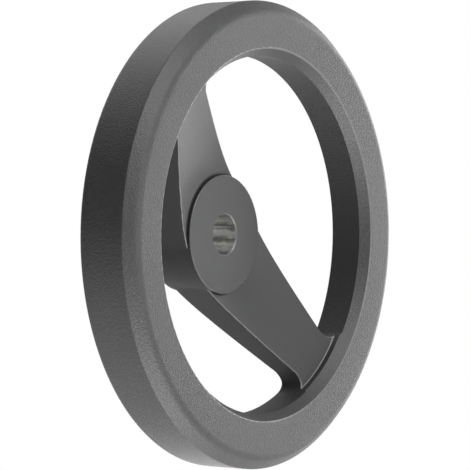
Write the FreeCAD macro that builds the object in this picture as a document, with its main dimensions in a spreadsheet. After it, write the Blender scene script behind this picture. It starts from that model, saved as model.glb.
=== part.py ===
"""Two-spoke machine handwheel, cast in one piece.

Lengths are in millimetres and angles in degrees. The wheel turns about Y. The origin
is the centre of the hub's back face, and the rim's front face looks towards -Y. Depths
are measured from the rim's front face towards the back, and radii from the axis.
"""
import FreeCAD, Part
import math
import os

import Sketcher

NODE = "handwheel"

SIZES = {
    "rim_diameter": 160.0,
    "rim_width": 19.0,
    "rim_depth": 22.6,
    "rim_side_draft": 1.0,
    "rim_edge_radius": 0.8,
    "rim_back_radius": 60.0,
    "rim_back_corner": 2.2,
    "outer_bevel_width": 3.95,
    "outer_bevel_depth": 4.05,
    "outer_bevel_radius": 4.4,
    "inner_bevel_width": 2.7,
    "inner_bevel_depth": 4.0,
    "wall_step": 0.2,
    "hub_diameter": 41.0,
    "hub_length": 19.0,
    "hub_setback": 19.3,
    "hub_draft": 2.4,
    "hub_face_radius": 0.4,
    "hub_back_radius": 1.0,
    "bore_diameter": 14.0,
    "bore_chamfer": 0.4,
    "dish_angle": 19.9,
    "dish_step": 1.35,
    "dish_root_thickness": 14.8,
    "dish_tip_thickness": 8.8,
    "dish_overlap": 5.0,
    "dish_seat_radius": 3.0,
    "window_hub_diameter": 41.0,
    "window_corner": 4.0,
    "window_draft": 2.5,
    "window_back_radius": 0.8,
    "spoke_direction": 130.4,
    "spoke_tip_width": 19.9,
    "spoke_edge_radius": 0.45,
}

TOLERANCE = 1e-3
UPRIGHT = 0.2
LEVEL = 0.5
FRONT = -1
BACK = 1


class Size:
    """A value together with the formula that gives it from the sheet."""

    def __init__(self, value, formula):
        self.value = value
        self.formula = formula

    def __add__(self, other):
        other = as_size(other)
        return Size(self.value + other.value, f"({self.formula} + {other.formula})")

    def __sub__(self, other):
        other = as_size(other)
        return Size(self.value - other.value, f"({self.formula} - {other.formula})")

    def __mul__(self, other):
        other = as_size(other)
        return Size(self.value * other.value, f"({self.formula} * {other.formula})")

    def __truediv__(self, other):
        other = as_size(other)
        return Size(self.value / other.value, f"({self.formula} / {other.formula})")


def as_size(number):
    """A plain number as a size, and a size as it is."""
    return number if isinstance(number, Size) else Size(float(number), repr(float(number)))


def size(name):
    """The size that the sheet holds under this name."""
    return Size(SIZES[name], f"Sizes.{name}")


def tangent(angle):
    """The tangent of an angle in degrees."""
    return Size(math.tan(math.radians(angle.value)), f"tan({angle.formula})")


def half(name):
    """The radius that goes with a diameter of the sheet."""
    return size(name) / 2


def window_radius():
    """The radius of the rim's inner wall in the windows, at the front plane."""
    return half("rim_diameter") - size("rim_width")


def front_distance():
    """How far the rim's front face stands in front of the hub's back face."""
    return size("hub_setback") + size("hub_length")


def dish_start():
    """The radius inside the hub at which the turned web starts."""
    return half("hub_diameter") - size("dish_overlap")


def dish_front(radius):
    """The depth of the dished front face of the web at a radius."""
    rise = (radius - half("hub_diameter")) * tangent(size("dish_angle"))
    return size("hub_setback") + size("dish_step") - rise


def dish_back(radius):
    """The depth of the back face of the web at a radius."""
    run = window_radius() - half("hub_diameter")
    taper = (size("dish_root_thickness") - size("dish_tip_thickness")) / run
    thickness = size("dish_root_thickness") - (radius - half("hub_diameter")) * taper
    return dish_front(radius) + thickness


def make_sheet(doc):
    """The spreadsheet with the driving dimensions."""
    sheet = doc.addObject("Spreadsheet::Sheet", "Sizes")
    for row, (name, value) in enumerate(SIZES.items(), start=1):
        sheet.set(f"A{row}", name)
        sheet.set(f"B{row}", str(value))
        sheet.setAlias(f"B{row}", name)
    doc.recompute()


def origin_item(body, role):
    """An origin plane or axis of the body, found by its role."""
    return next(item for item in body.Origin.OriginFeatures if item.Role == role)


def section_sketch(body, name):
    """A sketch in a plane through the axis: radii to the right, depths upwards."""
    sketch = body.newObject("Sketcher::SketchObject", name)
    sketch.AttachmentSupport = [(origin_item(body, "XY_Plane"), "")]
    sketch.MapMode = "FlatFace"
    sketch.setExpression("AttachmentOffset.Base.y", f"-{front_distance().formula}")
    return sketch


def front_sketch(body, name):
    """A sketch in the plane of the rim's front face, its X along the upper spoke."""
    sketch = body.newObject("Sketcher::SketchObject", name)
    sketch.AttachmentSupport = [(origin_item(body, "XZ_Plane"), "")]
    sketch.MapMode = "FlatFace"
    sketch.setExpression("AttachmentOffset.Base.z", front_distance().formula)
    turn = f"{size('spoke_direction').formula} * 1deg"
    sketch.setExpression("AttachmentOffset.Rotation.Angle", turn)
    return sketch


def bind(sketch, constraint, length):
    """Add a dimension to the sketch and tie it to its formula."""
    index = sketch.addConstraint(constraint)
    sketch.setExpression(f"Constraints[{index}]", length.formula)


def corner_point(corner):
    """The place of a corner in its sketch; one without a depth is on the front plane."""
    radius, depth = corner
    return FreeCAD.Vector(radius.value, depth.value if depth else 0, 0)


def hold_corner(sketch, line, corner):
    """Hold the start of a line at its corner's radius and depth."""
    radius, depth = corner
    rule = Sketcher.Constraint
    bind(sketch, rule("DistanceX", -1, 1, line, 1, radius.value), radius)
    if depth:
        bind(sketch, rule("DistanceY", -1, 1, line, 1, depth.value), depth)
    else:
        sketch.addConstraint(rule("PointOnObject", line, 1, -1))


def bulged_arc(start, end, radius):
    """The short arc between two corners whose middle lies further back."""
    chord = end - start
    forwards = FreeCAD.Vector(-chord.y, chord.x, 0).normalize()
    centre = (start + end) * 0.5 + forwards * math.sqrt(radius ** 2 - (chord.Length / 2) ** 2)
    first = math.atan2(start.y - centre.y, start.x - centre.x)
    last = math.atan2(end.y - centre.y, end.x - centre.x)
    return Part.ArcOfCircle(Part.Circle(centre, FreeCAD.Vector(0, 0, 1), radius), first, last)


def draw_section(sketch, corners, bulge_after=None, bulge_radius=None):
    """Close a run of corners with straight edges, one of which may be an arc."""
    ends = corners[1:] + corners[:1]
    for index, (corner, end) in enumerate(zip(corners, ends)):
        here = corner_point(corner)
        there = corner_point(end)
        if index == bulge_after:
            sketch.addGeometry(bulged_arc(here, there, bulge_radius.value))
        else:
            sketch.addGeometry(Part.LineSegment(here, there))
    for index, corner in enumerate(corners):
        after = (index + 1) % len(corners)
        sketch.addConstraint(Sketcher.Constraint("Coincident", index, 2, after, 1))
        hold_corner(sketch, index, corner)
    if bulge_radius:
        rule = Sketcher.Constraint("Radius", bulge_after, bulge_radius.value)
        bind(sketch, rule, bulge_radius)


def revolve(doc, body, name, sketch):
    """Turn a section about the axis of the wheel."""
    feature = body.newObject("PartDesign::Revolution", name)
    feature.Profile = sketch
    feature.ReferenceAxis = (sketch, ["V_Axis"])
    feature.Angle = 360
    doc.recompute()


def circles(shape, corner):
    """The names of the circular edges that a corner of a turned section leaves."""
    place = corner_point(corner)
    found = []
    for index, edge in enumerate(shape.Edges, start=1):
        if edge.Degenerated or not isinstance(edge.Curve, Part.Circle):
            continue
        depth = edge.Curve.Center.y + front_distance().value
        if math.hypot(edge.Curve.Radius - place.x, depth - place.y) < TOLERANCE:
            found.append(f"Edge{index}")
    return found


def facing(face, point, side):
    """How squarely a face looks to the front or the back at a point on it."""
    u, v = face.Surface.parameter(point)
    return side * face.normalAt(u, v).y


def window_edges(shape, side, outer, shallow):
    """The edges where the window walls meet the front or the back of the web and rim.

    They lie between the start of the web and an outer radius, behind a shallow depth.
    """
    found = []
    for index, edge in enumerate(shape.Edges, start=1):
        faces = shape.ancestorsOfType(edge, Part.Face)
        if edge.Degenerated or len(faces) != 2:
            continue
        middle = edge.valueAt(sum(edge.ParameterRange) / 2)
        radius = math.hypot(middle.x, middle.z)
        depth = middle.y + front_distance().value
        wall, flank = sorted(facing(face, middle, side) for face in faces)
        meets = abs(wall) < UPRIGHT and flank > LEVEL
        within = dish_start().value + TOLERANCE < radius < outer.value
        if meets and within and depth > shallow.value + TOLERANCE:
            found.append(f"Edge{index}")
    return found


def dress(doc, body, kind, name, edges, length):
    """A fillet or a chamfer on named edges of the body so far."""
    base = body.Tip
    feature = body.newObject(f"PartDesign::{kind}", name)
    feature.Base = (base, edges)
    feature.setExpression("Radius" if kind == "Fillet" else "Size", length.formula)
    doc.recompute()


def turn_rim_and_web(doc, body):
    """The rim and the dished web as one turned form, before the windows are cut."""
    root = window_radius()
    wall = root - size("wall_step")
    outer = half("rim_diameter")
    side_length = size("rim_depth") - size("outer_bevel_depth")
    inner_face_edge = (root + size("inner_bevel_width"), None)
    outer_face_edge = (outer - size("outer_bevel_width"), None)
    side_front = (outer, size("outer_bevel_depth"))
    side_back = (outer - side_length * tangent(size("rim_side_draft")), size("rim_depth"))
    seat = (root, dish_back(root))
    corners = [
        (dish_start(), dish_front(dish_start())),
        (wall, dish_front(wall)),
        (wall, size("inner_bevel_depth")),
        inner_face_edge,
        outer_face_edge,
        side_front,
        side_back,
        seat,
        (dish_start(), dish_back(dish_start())),
    ]
    sketch = section_sketch(body, "rim_and_web_section")
    draw_section(sketch, corners, corners.index(side_back), size("rim_back_radius"))
    revolve(doc, body, "rim_and_web", sketch)

    outer_edge = circles(body.Shape, outer_face_edge)
    dress(doc, body, "Fillet", "outer_bevel_round", outer_edge, size("outer_bevel_radius"))
    crisp_edges = circles(body.Shape, inner_face_edge) + circles(body.Shape, side_front)
    dress(doc, body, "Fillet", "rim_edges", crisp_edges, size("rim_edge_radius"))
    back_edge = circles(body.Shape, side_back)
    dress(doc, body, "Fillet", "rim_back_edge", back_edge, size("rim_back_corner"))
    seat_edge = circles(body.Shape, seat)
    dress(doc, body, "Fillet", "dish_seat", seat_edge, size("dish_seat_radius"))


def draw_window(sketch):
    """One window: hub side, spoke edges and rim wall, each running into the next."""
    wall = window_radius()
    hub_side = half("window_hub_diameter")
    corner = size("window_corner")
    tip = half("spoke_tip_width")
    lean = math.asin(hub_side.value / wall.value) - math.asin(tip.value / wall.value)

    along = FreeCAD.Vector(math.cos(lean), -math.sin(lean), 0)
    across = FreeCAD.Vector(math.sin(lean), math.cos(lean), 0)
    offset = hub_side.value + corner.value
    reach = math.sqrt((wall.value - corner.value) ** 2 - offset ** 2)
    corner_centre = along * reach + across * offset
    edge_end = corner_centre - across * corner.value
    edge_start = across * hub_side.value
    rim_angle = math.atan2(corner_centre.y, corner_centre.x)
    hub_angle = math.pi / 2 - lean
    tip_corner = FreeCAD.Vector(math.sqrt(wall.value ** 2 - tip.value ** 2), tip.value, 0)

    def arc(centre, radius, first, last):
        circle = Part.Circle(centre, FreeCAD.Vector(0, 0, 1), radius.value)
        return sketch.addGeometry(Part.ArcOfCircle(circle, first, last))

    def line(start, end):
        return sketch.addGeometry(Part.LineSegment(start, end))

    def mirrored(point):
        return FreeCAD.Vector(-point.x, point.y, 0)

    hub_arc = arc(FreeCAD.Vector(), hub_side, hub_angle, math.pi - hub_angle)
    right_edge = line(edge_start, edge_end)
    right_arc = arc(corner_centre, corner, hub_angle - math.pi, rim_angle)
    rim_arc = arc(FreeCAD.Vector(), wall, rim_angle, math.pi - rim_angle)
    left_arc = arc(mirrored(corner_centre), corner, math.pi - rim_angle, 2 * math.pi - hub_angle)
    left_edge = line(mirrored(edge_end), mirrored(edge_start))
    tip_point = sketch.addGeometry(Part.Point(tip_corner), True)

    rule = Sketcher.Constraint
    sketch.addConstraint(rule("Tangent", hub_arc, 1, right_edge, 1))
    sketch.addConstraint(rule("Tangent", right_edge, 2, right_arc, 1))
    sketch.addConstraint(rule("Tangent", right_arc, 2, rim_arc, 1))
    sketch.addConstraint(rule("Tangent", rim_arc, 2, left_arc, 1))
    sketch.addConstraint(rule("Tangent", left_arc, 2, left_edge, 1))
    sketch.addConstraint(rule("Tangent", left_edge, 2, hub_arc, 2))
    sketch.addConstraint(rule("Coincident", hub_arc, 3, -1, 1))
    sketch.addConstraint(rule("Coincident", rim_arc, 3, -1, 1))
    sketch.addConstraint(rule("Symmetric", right_arc, 3, left_arc, 3, -2))
    bind(sketch, rule("Radius", hub_arc, hub_side.value), hub_side)
    bind(sketch, rule("Radius", rim_arc, wall.value), wall)
    bind(sketch, rule("Radius", right_arc, corner.value), corner)
    sketch.addConstraint(rule("PointOnObject", tip_point, 1, right_edge))
    sketch.addConstraint(rule("PointOnObject", tip_point, 1, rim_arc))
    bind(sketch, rule("DistanceY", -1, 1, tip_point, 1, tip.value), tip)


def cut_windows(doc, body):
    """The two windows between the spokes, drafted so that they open to the back."""
    sketch = front_sketch(body, "window_outline")
    draw_window(sketch)
    window = body.newObject("PartDesign::Pocket", "window")
    window.Profile = sketch
    window.setExpression("Length", front_distance().formula)
    window.setExpression("TaperAngle", f"{size('window_draft').formula} * 1deg")
    doc.recompute()
    windows = body.newObject("PartDesign::PolarPattern", "windows")
    windows.Originals = [window]
    windows.Axis = (origin_item(body, "Y_Axis"), [""])
    windows.Angle = 360
    windows.Occurrences = 2
    body.Tip = windows
    doc.recompute()

    back_edges = window_edges(body.Shape, BACK, half("rim_diameter"), as_size(0))
    dress(doc, body, "Fillet", "window_back_edges", back_edges, size("window_back_radius"))
    bevel_end = size("inner_bevel_depth")
    front_edges = window_edges(body.Shape, FRONT, window_radius(), bevel_end)
    dress(doc, body, "Fillet", "spoke_front_edges", front_edges, size("spoke_edge_radius"))


def add_hub(doc, body):
    """The bored hub, which its draft narrows towards the back."""
    bore = half("bore_diameter")
    outer = half("hub_diameter")
    front = size("hub_setback")
    back = front_distance()
    bore_front = (bore, front)
    face_edge = (outer, front)
    back_edge = (outer - size("hub_length") * tangent(size("hub_draft")), back)
    bore_back = (bore, back)
    sketch = section_sketch(body, "hub_section")
    draw_section(sketch, [bore_front, face_edge, back_edge, bore_back])
    revolve(doc, body, "hub", sketch)

    hub_back = circles(body.Shape, back_edge)
    dress(doc, body, "Fillet", "hub_back_edge", hub_back, size("hub_back_radius"))
    hub_front = circles(body.Shape, face_edge)
    dress(doc, body, "Fillet", "hub_face_edge", hub_front, size("hub_face_radius"))
    mouth = circles(body.Shape, bore_front)
    dress(doc, body, "Chamfer", "bore_mouth", mouth, size("bore_chamfer"))


def check(doc, shape):
    """Stop if a feature failed or the casting isn't one sound solid."""
    failed = [item.Name for item in doc.Objects if {"Invalid", "Error"} & set(item.State)]
    if failed:
        raise RuntimeError("these features failed: " + ", ".join(failed))
    if shape.isNull() or not shape.isValid() or len(shape.Solids) != 1:
        raise RuntimeError("the casting isn't one valid solid")


def main():
    doc = FreeCAD.newDocument("machine_handwheel")
    make_sheet(doc)
    body = doc.addObject("PartDesign::Body", NODE)
    body.Label = NODE
    turn_rim_and_web(doc, body)
    cut_windows(doc, body)
    add_hub(doc, body)
    doc.recompute()
    check(doc, body.Shape)
    os.makedirs("parts", exist_ok=True)
    body.Shape.exportStep(os.path.join("parts", f"{NODE}.step"))
    print(NODE, "volume", round(body.Shape.Volume), "mm3", body.Shape.BoundBox)


main()
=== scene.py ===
"""A cast two-spoke machine handwheel in black textured coating, with a bare metal bore."""
import math

import bpy
from mathutils import Matrix, Vector


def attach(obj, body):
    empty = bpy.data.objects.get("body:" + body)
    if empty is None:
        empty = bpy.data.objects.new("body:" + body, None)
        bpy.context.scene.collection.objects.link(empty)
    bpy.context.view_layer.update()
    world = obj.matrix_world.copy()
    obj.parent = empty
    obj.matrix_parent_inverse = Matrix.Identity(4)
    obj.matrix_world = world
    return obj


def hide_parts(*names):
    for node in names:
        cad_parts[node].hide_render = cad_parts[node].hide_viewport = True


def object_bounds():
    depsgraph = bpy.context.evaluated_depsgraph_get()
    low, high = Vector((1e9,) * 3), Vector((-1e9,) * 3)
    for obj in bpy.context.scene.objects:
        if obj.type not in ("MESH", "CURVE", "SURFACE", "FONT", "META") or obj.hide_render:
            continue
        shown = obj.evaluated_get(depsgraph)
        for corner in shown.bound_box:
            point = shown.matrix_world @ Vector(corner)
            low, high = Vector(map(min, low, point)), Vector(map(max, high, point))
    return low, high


bl_info = {
    "name": "Machine Handwheel",
    "version": (1, 0, 0),
    "blender": (4, 5, 0),
    "location": "View3D > Sidebar > Handwheel",
    "description": "Dresses a cast two-spoke handwheel and sets up its studio",
    "category": "Object",
}

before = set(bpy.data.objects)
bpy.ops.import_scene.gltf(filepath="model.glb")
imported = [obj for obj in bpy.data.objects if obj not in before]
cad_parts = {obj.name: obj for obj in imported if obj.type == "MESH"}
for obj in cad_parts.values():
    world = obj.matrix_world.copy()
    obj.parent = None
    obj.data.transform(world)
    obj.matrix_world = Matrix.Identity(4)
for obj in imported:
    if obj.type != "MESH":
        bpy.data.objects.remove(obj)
cad_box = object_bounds()

MM = 0.001
CASTING = "handwheel"
BODY = "root"
PHOTO_SIDE = 470
SENSOR_MM = 36.0
ORIGIN = Vector((0.0, 0.0, 0.0))
DARK_WAY = (-0.96, 0.28, 0.0)
DARK_SPAN = (0.0, 0.7)
SHINE = 0.9
# The rounded front edges that get a painted highlight: between which radii their faces
# lie, and how far these turn to the front, as the Y of their normals.
HIGHLIGHT_BANDS = {
    "bore mouth": ((7.05 * MM, 7.5 * MM), (-0.9, -0.3)),
    "hub and spokes": ((19.9 * MM, 61.0 * MM), (-0.88, -0.15)),
    "rim's inner edge": ((63.3 * MM, 64.3 * MM), (-0.97, -0.62)),
}
# How large a part of the height pebbles and fine grain have on the rim, and fine grain
# on the smooth faces.
PEBBLE_PART = 0.5
FINE_PART = 0.8
SMOOTH_PART = 0.34
FINE_DENSITY = 2.2
WARP_DENSITY = 0.6
WARP_REACH = 0.9
GRAIN_FADE = 0.3 * MM
# Painted shade on the walls: the fade at its reach, the tilts of their normals (as |Y|) over
# which it fades out, and how much rougher the walls are.
WALL_FADE = 1.0 * MM
WALL_TILT = (0.12, 0.45)
WALL_DULLNESS = 0.26
DRIFT_SCALE = 28.0
# Bands that run along the bore, and the metal's darker tone in them.
BAND_STRETCH = (0.4, 0.03, 1.0)
BAND_SCALE = 520.0
BAND_SPAN = (0.53, 0.73)
BAND_TONE = 0.3
MOTTLE_SCALE = 420.0
MOTTLE_PART = 0.3
MARK_STRETCH = (0.12, 1.0, 0.12)
MARK_SCALE = 4200.0
MARK_HEIGHT = 0.012 * MM
METAL_GLOSS = (0.32, 0.50)
# The power of the lamps in watts, the side of each, and their places.
STRONG = 8.0
MIDDLE = 3.0
FAINT = 0.8
LAMP_SIDE = 0.9
LAMPS = {
    "lamp_front": ((0.10, -1.20, 0.15), MIDDLE),
    "lamp_right_front": ((1.00, -0.66, 0.05), FAINT),
    "lamp_right": ((1.20, -0.15, 0.10), STRONG),
    "lamp_top_front": ((-0.30, -0.72, 0.92), STRONG),
    "lamp_top_back": ((0.40, 0.75, 0.85), MIDDLE),
    "lamp_top_left": ((-0.36, 0.58, 0.80), FAINT),
    "lamp_low_front": ((-0.30, -0.50, -1.00), STRONG),
    "lamp_low": ((0.0, -0.15, -1.10), MIDDLE),
    "lamp_low_right": ((0.90, 0.70, -0.42), MIDDLE),
}


def gray(level):
    return (level, level, level, 1.0)


def opaque(color):
    return (*color, 1.0)


class HandwheelFinish(bpy.types.PropertyGroup):
    """The finish of the casting: its coating, with painted shade on its walls and a painted
    highlight on its rounded front edges, and the bare metal of its bore.
    """

    coating_color: bpy.props.FloatVectorProperty(
        name="Coating", description="Colour of the black coating",
        subtype="COLOR", size=3, min=0.0, max=1.0, default=(0.026, 0.0262, 0.028),
    )
    grain_color: bpy.props.FloatVectorProperty(
        name="Grain tops", description="Colour of the coating where its grain stands up",
        subtype="COLOR", size=3, min=0.0, max=1.0, default=(0.058, 0.0583, 0.0615),
    )
    grain_size: bpy.props.FloatProperty(
        name="Grain size", description="Distance between the grains of the rim's coating",
        subtype="DISTANCE", default=0.75 * MM,
    )
    grain_height: bpy.props.FloatProperty(
        name="Grain height", description="How far the grains of the rim's coating stand up",
        subtype="DISTANCE", default=0.10 * MM,
    )
    grain_start: bpy.props.FloatProperty(
        name="Grain start", description="Radius at which the rim's grained coating begins",
        subtype="DISTANCE", default=60.7 * MM,
    )
    roughness: bpy.props.FloatProperty(
        name="Roughness", description="Roughness of the coating",
        subtype="FACTOR", min=0.0, max=1.0, default=0.46,
    )
    # Painted shade: how much darker the walls are coloured, and within which radius.
    painted_wall_shade: bpy.props.FloatProperty(
        name="Wall shade", description="How dark the walls' coating is beside that of the faces",
        subtype="FACTOR", min=0.0, max=1.0, default=0.28,
    )
    painted_shade_reach: bpy.props.FloatProperty(
        name="Wall reach", description="Radius within which the walls' coating is darker",
        subtype="DISTANCE", default=69.0 * MM,
    )
    # Painted highlight: the lighter colour given to the rounded front edges, and their
    # roughness.
    edge_highlight_color: bpy.props.FloatVectorProperty(
        name="Edges", description="Colour of the coating on the rounded front edges",
        subtype="COLOR", size=3, min=0.0, max=1.0, default=(0.17, 0.17, 0.175),
    )
    edge_roughness: bpy.props.FloatProperty(
        name="Edge roughness", description="Roughness of the coating on the front edges",
        subtype="FACTOR", min=0.0, max=1.0, default=0.34,
    )
    bore_color: bpy.props.FloatVectorProperty(
        name="Bore metal", description="Colour of the bare metal in the bore",
        subtype="COLOR", size=3, min=0.0, max=1.0, default=(0.74, 0.735, 0.72),
    )
    bore_radius: bpy.props.FloatProperty(
        name="Bore radius", description="Radius within which the metal is left bare",
        subtype="DISTANCE", default=7.05 * MM,
    )
    weld_distance: bpy.props.FloatProperty(
        name="Weld distance", description="Points of the casting closer than this are joined",
        subtype="DISTANCE", default=0.001 * MM,
    )
    crease_angle: bpy.props.FloatProperty(
        name="Crease angle", description="Edges that turn by more than this stay crisp",
        subtype="ANGLE", default=math.radians(24.0),
    )


class HandwheelStudio(bpy.types.PropertyGroup):
    """The camera, the lamps, the surroundings and the floor."""

    azimuth: bpy.props.FloatProperty(
        name="Camera azimuth", description="How far round from the wheel's front the camera is",
        subtype="ANGLE", default=math.radians(-55.27),
    )
    elevation: bpy.props.FloatProperty(
        name="Camera elevation", description="How far above the horizon the camera is",
        subtype="ANGLE", default=math.radians(0.67),
    )
    roll: bpy.props.FloatProperty(
        name="Camera roll", description="How far the camera leans to its left",
        subtype="ANGLE", default=math.radians(0.18),
    )
    distance: bpy.props.FloatProperty(
        name="Camera distance", description="From the camera to the plane of the rim's front",
        subtype="DISTANCE", default=1120.0 * MM,
    )
    aim: bpy.props.FloatVectorProperty(
        name="Aim", description="How far right of and above the wheel's centre the camera aims",
        subtype="XYZ", size=2, default=(-12.40 * MM, 0.0),
    )
    focal_pixels: bpy.props.FloatProperty(
        name="Focal length", description="Focal length in pixels of the photograph's frame",
        default=3286.0,
    )
    front_plane: bpy.props.FloatProperty(
        name="Front plane", description="Place of the rim's front face on the wheel's axis",
        subtype="DISTANCE", default=cad_box[0][1],
    )
    dark_level: bpy.props.FloatProperty(
        name="Dark side", description="Brightness of the surroundings behind the wheel's left",
        default=0.02,
    )
    bright_level: bpy.props.FloatProperty(
        name="Bright side", description="Brightness of the rest of the surroundings",
        default=0.45,
    )
    floor_side: bpy.props.FloatProperty(
        name="Floor size", description="Length of the floor's side",
        subtype="DISTANCE", default=12.0,
    )
    floor_gap: bpy.props.FloatProperty(
        name="Floor gap", description="How far the floor lies below the rim",
        subtype="DISTANCE", default=1.1,
    )
    floor_white: bpy.props.FloatProperty(
        name="Floor white", description="How far the floor in view is plain white",
        subtype="FACTOR", min=0.0, max=1.0, default=0.97,
    )


class Nodes:
    """A short way to add the nodes of one tree and to join them."""

    def __init__(self, tree):
        self.tree = tree
        self.tree.nodes.clear()

    def add(self, kind, inputs=None, **settings):
        node = self.tree.nodes.new(kind)
        for name, value in settings.items():
            setattr(node, name, value)
        for name, value in (inputs or {}).items():
            self.put(node.inputs[name], value)
        return node

    def put(self, socket, value):
        if isinstance(value, bpy.types.NodeSocket):
            self.tree.links.new(value, socket)
        else:
            socket.default_value = value

    def math(self, operation, first, second=0.0):
        node = self.add("ShaderNodeMath", {0: first, 1: second}, operation=operation)
        return node.outputs["Value"]

    def span(self, value, low, high, to_low=0.0, to_high=1.0):
        """Value carried smoothly from one range to another, and held at its ends."""
        inputs = {"Value": value, "From Min": low, "From Max": high}
        inputs.update({"To Min": to_low, "To Max": to_high})
        node = self.add("ShaderNodeMapRange", inputs, interpolation_type="SMOOTHSTEP")
        return node.outputs["Result"]

    def noise(self, place, scale, detail=2.0, roughness=0.5):
        inputs = {"Vector": place, "Scale": scale, "Detail": detail, "Roughness": roughness}
        return self.add("ShaderNodeTexNoise", inputs).outputs["Fac"]

    def mix_color(self, factor, first, second):
        node = self.add("ShaderNodeMix", data_type="RGBA")
        self.put(node.inputs["Factor"], factor)
        self.put(node.inputs[6], first)
        self.put(node.inputs[7], second)
        return node.outputs[2]


def coating_material(finish):
    """Black coating: leathery on the rim, smooth on the hub and spokes, with painted shade on
    the walls.
    """
    material = bpy.data.materials.new("black_textured_coating")
    material.use_nodes = True
    nodes = Nodes(material.node_tree)
    where = nodes.add("ShaderNodeTexCoord").outputs
    place = where["Object"]
    parts = nodes.add("ShaderNodeSeparateXYZ", {"Vector": place}).outputs
    across = nodes.add("ShaderNodeCombineXYZ", {"X": parts["X"], "Z": parts["Z"]})
    radius = nodes.add("ShaderNodeVectorMath", {0: across.outputs["Vector"]}, operation="LENGTH")
    start = finish.grain_start
    on_rim = nodes.span(radius.outputs["Value"], start - GRAIN_FADE, start + GRAIN_FADE)

    density = 1.0 / finish.grain_size
    warp = nodes.add("ShaderNodeTexNoise", {"Vector": place, "Scale": density * WARP_DENSITY})
    shift = nodes.add(
        "ShaderNodeVectorMath",
        {0: warp.outputs["Color"], 1: (finish.grain_size * WARP_REACH,) * 3},
        operation="MULTIPLY",
    )
    warped = nodes.add(
        "ShaderNodeVectorMath", {0: place, 1: shift.outputs["Vector"]}, operation="ADD",
    )
    cells = nodes.add(
        "ShaderNodeTexVoronoi",
        {"Vector": warped.outputs["Vector"], "Scale": density, "Smoothness": 0.6},
        feature="SMOOTH_F1",
    )
    pebbles = nodes.span(cells.outputs["Distance"], 0.05, 0.75, 1.0, 0.0)
    fine = nodes.noise(place, density * FINE_DENSITY, 3.0, 0.65)
    pebble_height = nodes.math("MULTIPLY", pebbles, PEBBLE_PART)
    fine_height = nodes.math("MULTIPLY", fine, FINE_PART)
    leather = nodes.math("ADD", pebble_height, fine_height)
    softer = nodes.noise(place, density * FINE_DENSITY, 3.0, 0.6)
    smooth = nodes.math("MULTIPLY", softer, SMOOTH_PART)
    height = nodes.add("ShaderNodeMix", data_type="FLOAT")
    nodes.put(height.inputs["Factor"], on_rim)
    nodes.put(height.inputs[2], smooth)
    nodes.put(height.inputs[3], leather)
    bump = nodes.add(
        "ShaderNodeBump",
        {"Height": height.outputs[0], "Distance": finish.grain_height, "Strength": 1.0},
    )

    drift = nodes.noise(place, DRIFT_SCALE, 3.0, 0.6)
    grained = nodes.math("MULTIPLY", leather, on_rim)
    tops = nodes.math("MULTIPLY", grained, nodes.span(drift, 0.3, 0.7, 0.5, 1.0))
    open_color = nodes.mix_color(tops, opaque(finish.coating_color), opaque(finish.grain_color))
    # Painted shade: steep walls within the reach are coloured darker, and also made rougher.
    turned = nodes.add("ShaderNodeSeparateXYZ", {"Vector": where["Normal"]}).outputs["Y"]
    steep = nodes.span(nodes.math("ABSOLUTE", turned), *WALL_TILT, 1.0, 0.0)
    reach = finish.painted_shade_reach
    edge = (reach - WALL_FADE, reach + WALL_FADE)
    within = nodes.span(radius.outputs["Value"], *edge, 1.0, 0.0)
    wall_shade_and_dullness = nodes.math("MULTIPLY", steep, within)
    painted_shade_color = nodes.add(
        "ShaderNodeVectorMath", {0: open_color, 1: (finish.painted_wall_shade,) * 3},
        operation="MULTIPLY",
    )
    color = nodes.mix_color(wall_shade_and_dullness, open_color, painted_shade_color.outputs["Vector"])
    gloss = nodes.span(fine, 0.3, 0.7, finish.roughness - 0.05, finish.roughness + 0.07)
    gloss = nodes.math("ADD", gloss, nodes.math("MULTIPLY", wall_shade_and_dullness, WALL_DULLNESS))
    surface = nodes.add(
        "ShaderNodeBsdfPrincipled",
        {"Base Color": color, "Roughness": gloss, "Specular IOR Level": SHINE,
         "Normal": bump.outputs["Normal"]},
    )
    nodes.add("ShaderNodeOutputMaterial", {"Surface": surface.outputs["BSDF"]})
    return material


def edge_highlight_material(finish):
    """Painted highlight: the coating made lighter and glossier on the rounded front edges."""
    material = bpy.data.materials.new("painted_edge_highlight")
    material.use_nodes = True
    nodes = Nodes(material.node_tree)
    surface = nodes.add(
        "ShaderNodeBsdfPrincipled",
        {"Base Color": opaque(finish.edge_highlight_color), "Roughness": finish.edge_roughness,
         "Specular IOR Level": SHINE},
    )
    nodes.add("ShaderNodeOutputMaterial", {"Surface": surface.outputs["BSDF"]})
    return material


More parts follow.
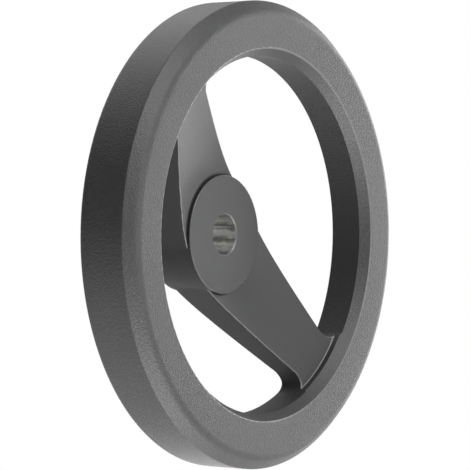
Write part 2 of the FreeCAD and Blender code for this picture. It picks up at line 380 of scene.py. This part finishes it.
def bore_material(finish):
    """Bare reamed metal, with fine tool marks round the bore and bands along it."""
    material = bpy.data.materials.new("bare_reamed_metal")
    material.use_nodes = True
    nodes = Nodes(material.node_tree)
    place = nodes.add("ShaderNodeTexCoord").outputs["Object"]
    rings = nodes.add("ShaderNodeMapping", {"Vector": place, "Scale": MARK_STRETCH})
    marks = nodes.noise(rings.outputs["Vector"], MARK_SCALE, 2.0, 0.6)
    along = nodes.add("ShaderNodeMapping", {"Vector": place, "Scale": BAND_STRETCH})
    streaks = nodes.noise(along.outputs["Vector"], BAND_SCALE, 3.0, 0.6)
    mottle = nodes.math("MULTIPLY", nodes.noise(place, MOTTLE_SCALE, 3.0, 0.6), MOTTLE_PART)
    dull = tuple(channel * BAND_TONE for channel in finish.bore_color)
    factor = nodes.span(nodes.math("ADD", streaks, mottle), *BAND_SPAN)
    color = nodes.mix_color(factor, opaque(dull), opaque(finish.bore_color))
    bump = nodes.add(
        "ShaderNodeBump", {"Height": marks, "Distance": MARK_HEIGHT, "Strength": 1.0},
    )
    gloss = nodes.span(streaks, 0.3, 0.7, *METAL_GLOSS)
    surface = nodes.add(
        "ShaderNodeBsdfPrincipled",
        {"Base Color": color, "Roughness": gloss, "Metallic": 1.0,
         "Normal": bump.outputs["Normal"]},
    )
    nodes.add("ShaderNodeOutputMaterial", {"Surface": surface.outputs["BSDF"]})
    return material


def between(nodes, value, low, high):
    """Whether a value lies between two others, as one field."""
    above = nodes.add("FunctionNodeCompare", {0: value, 1: low}, operation="GREATER_THAN")
    below = nodes.add("FunctionNodeCompare", {0: value, 1: high}, operation="LESS_THAN")
    inputs = {0: above.outputs["Result"], 1: below.outputs["Result"]}
    return nodes.add("FunctionNodeBooleanMath", inputs, operation="AND").outputs[0]


def casting_tree(coating, edge_highlight, bare):
    """Welds the casting, keeps its creases crisp, coats it, paints a highlight on its rounded
    front edges and leaves its bore bare.
    """
    tree = bpy.data.node_groups.new("handwheel_casting", "GeometryNodeTree")
    face = tree.interface
    face.new_socket("Geometry", in_out="INPUT", socket_type="NodeSocketGeometry")
    for name in ("Weld distance", "Crease angle", "Bore radius"):
        face.new_socket(name, in_out="INPUT", socket_type="NodeSocketFloat")
    face.new_socket("Geometry", in_out="OUTPUT", socket_type="NodeSocketGeometry")
    nodes = Nodes(tree)
    given = nodes.add("NodeGroupInput").outputs
    weld = nodes.add(
        "GeometryNodeMergeByDistance",
        {"Geometry": given["Geometry"], "Distance": given["Weld distance"]},
    )
    turn = nodes.add("GeometryNodeInputMeshEdgeAngle").outputs["Unsigned Angle"]
    soft = nodes.add(
        "FunctionNodeCompare", {0: turn, 1: given["Crease angle"]}, operation="LESS_THAN",
    )
    faces = nodes.add(
        "GeometryNodeSetShadeSmooth", {"Geometry": weld.outputs["Geometry"]}, domain="FACE",
    )
    edges = nodes.add(
        "GeometryNodeSetShadeSmooth",
        {"Geometry": faces.outputs["Geometry"], "Shade Smooth": soft.outputs["Result"]},
        domain="EDGE",
    )
    joined = nodes.add("GeometryNodeRealizeInstances", {"Geometry": edges.outputs["Geometry"]})
    coated = nodes.add(
        "GeometryNodeSetMaterial",
        {"Geometry": joined.outputs["Geometry"], "Material": coating},
    )
    place = nodes.add("GeometryNodeInputPosition").outputs["Position"]
    flat = nodes.add(
        "ShaderNodeVectorMath", {0: place, 1: (1.0, 0.0, 1.0)}, operation="MULTIPLY",
    )
    radius = nodes.add(
        "ShaderNodeVectorMath", {0: flat.outputs["Vector"]}, operation="LENGTH",
    )
    facing = nodes.add("GeometryNodeInputNormal").outputs["Normal"]
    front = nodes.add("ShaderNodeSeparateXYZ", {"Vector": facing}).outputs["Y"]
    # Painted highlight: the faces of the rounded front edges get the lighter edge coating.
    highlighted = coated
    for reach, tilt in HIGHLIGHT_BANDS.values():
        on_band = between(nodes, radius.outputs["Value"], *reach)
        turned = between(nodes, front, *tilt)
        both = nodes.add("FunctionNodeBooleanMath", {0: on_band, 1: turned}, operation="AND")
        highlighted = nodes.add(
            "GeometryNodeSetMaterial",
            {"Geometry": highlighted.outputs["Geometry"], "Selection": both.outputs[0],
             "Material": edge_highlight},
        )
    inside = nodes.add(
        "FunctionNodeCompare",
        {0: radius.outputs["Value"], 1: given["Bore radius"]},
        operation="LESS_THAN",
    )
    bared = nodes.add(
        "GeometryNodeSetMaterial",
        {"Geometry": highlighted.outputs["Geometry"], "Selection": inside.outputs["Result"],
         "Material": bare},
    )
    nodes.add("NodeGroupOutput", {"Geometry": bared.outputs["Geometry"]})
    return tree


def give_inputs(modifier, values):
    """Sets a modifier's inputs by the identifiers of their sockets."""
    for item in modifier.node_group.interface.items_tree:
        if item.in_out == "INPUT" and item.name in values:
            modifier[item.identifier] = values[item.name]


def plain_mesh(piece, name):
    """The evaluated piece as a plain mesh."""
    graph = bpy.context.evaluated_depsgraph_get()
    mesh = bpy.data.meshes.new_from_object(piece.evaluated_get(graph))
    mesh.name = name
    return mesh


class HANDWHEEL_OT_casting(bpy.types.Operator):
    """Dress the casting in its coating and leave its bore bare"""

    bl_idname = "handwheel.casting"
    bl_label = "Casting"

    def execute(self, context):
        finish = context.scene.handwheel_finish
        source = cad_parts[CASTING]
        piece = bpy.data.objects.new("coated_casting", source.data.copy())
        context.scene.collection.objects.link(piece)
        piece.data.materials.clear()
        tree = casting_tree(
            coating_material(finish), edge_highlight_material(finish), bore_material(finish),
        )
        modifier = piece.modifiers.new("casting", "NODES")
        modifier.node_group = tree
        give_inputs(modifier, {
            "Weld distance": finish.weld_distance,
            "Crease angle": finish.crease_angle,
            "Bore radius": finish.bore_radius,
        })
        weights = piece.modifiers.new("even_normals", "WEIGHTED_NORMAL")
        weights.keep_sharp = True
        mesh = plain_mesh(piece, "coated_casting")
        piece.modifiers.clear()
        piece.data = mesh
        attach(piece, BODY)
        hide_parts(CASTING)
        return {"FINISHED"}


def floor_material(studio):
    """A pale floor that looks white and keeps a faint shadow of the wheel."""
    material = bpy.data.materials.new("pale_studio_floor")
    material.use_nodes = True
    nodes = Nodes(material.node_tree)
    path = nodes.add("ShaderNodeLightPath").outputs
    seen = nodes.math("MAXIMUM", path["Is Camera Ray"], path["Is Glossy Ray"])
    seen = nodes.math("MAXIMUM", seen, path["Is Transmission Ray"])
    lit = nodes.add("ShaderNodeBsdfDiffuse", {"Color": gray(0.8)})
    white = nodes.add("ShaderNodeEmission", {"Color": gray(1.0), "Strength": 1.0})
    surface = nodes.add("ShaderNodeMixShader", {
        "Fac": nodes.math("MULTIPLY", seen, studio.floor_white),
        1: lit.outputs["BSDF"],
        2: white.outputs["Emission"],
    })
    nodes.add("ShaderNodeOutputMaterial", {"Surface": surface.outputs["Shader"]})
    return material


def set_world(studio):
    """White behind the wheel; round it, soft light that fades behind its left."""
    world = bpy.data.worlds.new("studio_surroundings")
    world.use_nodes = True
    nodes = Nodes(world.node_tree)
    way = nodes.add("ShaderNodeTexCoord").outputs["Generated"]
    toward = nodes.add("ShaderNodeVectorMath", {0: way, 1: DARK_WAY}, operation="DOT_PRODUCT")
    levels = (studio.bright_level, studio.dark_level)
    level = nodes.span(toward.outputs["Value"], *DARK_SPAN, *levels)
    camera = nodes.add("ShaderNodeLightPath").outputs["Is Camera Ray"]
    around = nodes.add("ShaderNodeBackground", {"Color": gray(1.0), "Strength": level})
    white = nodes.add("ShaderNodeBackground", {"Color": gray(1.0), "Strength": 1.0})
    surface = nodes.add("ShaderNodeMixShader", {
        "Fac": camera, 1: around.outputs["Background"], 2: white.outputs["Background"],
    })
    nodes.add("ShaderNodeOutputWorld", {"Surface": surface.outputs["Shader"]})
    bpy.context.scene.world = world


def add_lamp(name, place, power):
    """A square soft lamp that shines at the wheel's centre."""
    data = bpy.data.lights.new(name, "AREA")
    data.shape = "SQUARE"
    data.size = LAMP_SIDE
    data.energy = power
    lamp = bpy.data.objects.new(name, data)
    bpy.context.scene.collection.objects.link(lamp)
    lamp.location = place
    lamp.rotation_euler = (ORIGIN - Vector(place)).to_track_quat("-Z", "Y").to_euler()


def add_floor(studio):
    """The floor as one flat square below the rim."""
    half = studio.floor_side / 2
    level = cad_box[0][2] - studio.floor_gap
    corners = [(-half, -half), (half, -half), (half, half), (-half, half)]
    mesh = bpy.data.meshes.new("floor")
    mesh.from_pydata([(*corner, level) for corner in corners], [], [(0, 1, 2, 3)])
    mesh.materials.append(floor_material(studio))
    floor = bpy.data.objects.new("floor", mesh)
    bpy.context.scene.collection.objects.link(floor)


def add_camera(studio):
    """The camera at the photograph's viewing angle."""
    around = Matrix.Rotation(studio.azimuth, 3, "Z")
    tilt = Matrix.Rotation(math.pi / 2 - studio.elevation, 3, "X")
    turn = around @ tilt @ Matrix.Rotation(studio.roll, 3, "Z")
    right, up, back = turn.col
    data = bpy.data.cameras.new("camera")
    data.sensor_width = SENSOR_MM
    data.sensor_fit = "HORIZONTAL"
    data.lens = studio.focal_pixels / PHOTO_SIDE * SENSOR_MM
    data.clip_start = 0.05
    data.clip_end = 50.0
    camera = bpy.data.objects.new("camera", data)
    bpy.context.scene.collection.objects.link(camera)
    centre = Vector((0.0, studio.front_plane, 0.0))
    place = centre + right * studio.aim[0] + up * studio.aim[1] + back * studio.distance
    camera.matrix_world = Matrix.Translation(place) @ turn.to_4x4()
    bpy.context.scene.camera = camera


class HANDWHEEL_OT_studio(bpy.types.Operator):
    """Set up the floor, the surroundings, the lamps and the camera"""

    bl_idname = "handwheel.studio"
    bl_label = "Studio"

    def execute(self, context):
        studio = context.scene.handwheel_studio
        context.scene.view_settings.view_transform = "Standard"
        set_world(studio)
        add_floor(studio)
        for name, (place, power) in LAMPS.items():
            add_lamp(name, place, power)
        add_camera(studio)
        return {"FINISHED"}


class HANDWHEEL_PT_panel(bpy.types.Panel):
    """The handwheel's tools in the sidebar"""

    bl_idname = "HANDWHEEL_PT_panel"
    bl_label = "Handwheel"
    bl_space_type = "VIEW_3D"
    bl_region_type = "UI"
    bl_category = "Handwheel"

    def draw(self, context):
        for group in (context.scene.handwheel_finish, context.scene.handwheel_studio):
            box = self.layout.box()
            for name in group.__annotations__:
                box.prop(group, name)
        for operator in OPERATORS:
            self.layout.operator(operator.bl_idname)


GROUPS = (HandwheelFinish, HandwheelStudio)
OPERATORS = (HANDWHEEL_OT_casting, HANDWHEEL_OT_studio)
CLASSES = (*GROUPS, *OPERATORS, HANDWHEEL_PT_panel)


def register():
    for item in CLASSES:
        bpy.utils.register_class(item)
    bpy.types.Scene.handwheel_finish = bpy.props.PointerProperty(type=HandwheelFinish)
    bpy.types.Scene.handwheel_studio = bpy.props.PointerProperty(type=HandwheelStudio)


def unregister():
    del bpy.types.Scene.handwheel_studio
    del bpy.types.Scene.handwheel_finish
    for item in reversed(CLASSES):
        bpy.utils.unregister_class(item)


def main():
    register()
    bpy.ops.handwheel.casting()
    bpy.ops.handwheel.studio()


if __name__ == "__main__":
    main()
